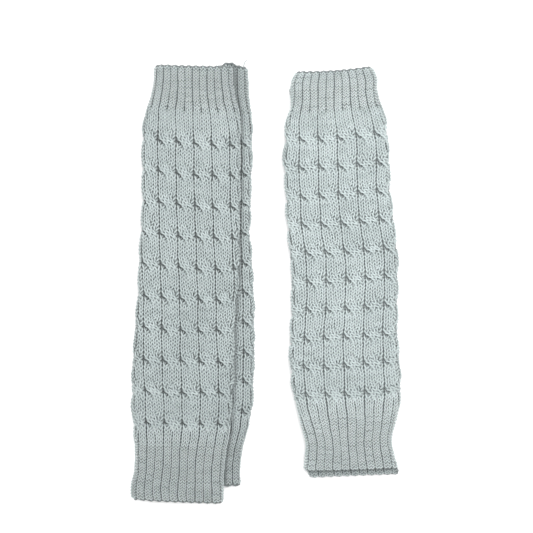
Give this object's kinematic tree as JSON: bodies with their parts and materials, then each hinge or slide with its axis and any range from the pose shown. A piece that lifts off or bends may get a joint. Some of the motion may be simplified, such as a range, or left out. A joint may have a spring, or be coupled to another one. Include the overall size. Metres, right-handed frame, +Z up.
{
  "type": "pair of leg warmers",
  "caption": "Cable-knit tube leg warmers with ribbed cuffs, laid flat in two stacks side by side",
  "frame": {"origin": "middle of everything in plan, on the surface that the leg warmers lie on", "axes": "+X across the legs to the right, +Y along them towards the top cuffs, +Z up from the surface"},
  "size_m": [0.2698, 0.4416, 0.0149],
  "materials": {
    "yarn": "matte pale grey-green knitting yarn"
  },
  "bodies": {
    "root": {"left_lower_top_rib": "yarn", "left_lower_cabled_leg": "yarn", "left_lower_bottom_rib": "yarn", "left_upper_top_rib": "yarn", "left_upper_cabled_leg": "yarn", "left_upper_bottom_rib": "yarn", "right_lower_top_rib": "yarn", "right_lower_cabled_leg": "yarn", "right_lower_bottom_rib": "yarn", "right_upper_top_rib": "yarn", "right_upper_cabled_leg": "yarn", "right_upper_bottom_rib": "yarn"}
  },
  "joints": []
}
